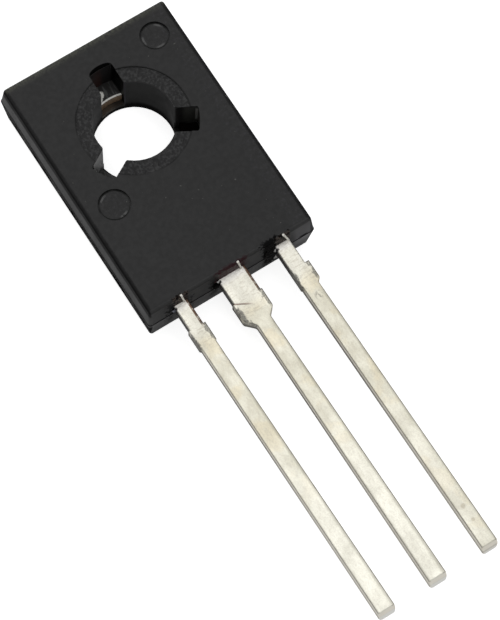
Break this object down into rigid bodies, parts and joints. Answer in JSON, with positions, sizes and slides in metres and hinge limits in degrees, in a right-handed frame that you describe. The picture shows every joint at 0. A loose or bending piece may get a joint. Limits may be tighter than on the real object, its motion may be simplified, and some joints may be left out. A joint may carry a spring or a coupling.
{
  "type": "power transistor",
  "caption": "Power transistor in a flat moulded package, with a mounting hole through the body and a row of flat leads.",
  "frame": {"origin": "on the mounting hole's axis, at the flat back face that meets a heat sink", "axes": "+X across the body, +Y from the leads towards the mounting hole's end, +Z along the mounting hole, out of the plain front face"},
  "size_m": [0.0076, 0.0252, 0.0026],
  "materials": {
    "epoxy": "moulded, fine satin",
    "tinned_copper": "satin tin plating on copper",
    "silicon": "polished",
    "solder": "dull",
    "bond_wire": "bright"
  },
  "bodies": {
    "root": {"epoxy_body": "epoxy", "collector_frame": "tinned_copper", "emitter_lead": "tinned_copper", "base_lead": "tinned_copper", "die": "silicon", "die_attach": "solder", "emitter_bond_wire": "bond_wire", "base_bond_wire": "bond_wire"}
  },
  "joints": []
}
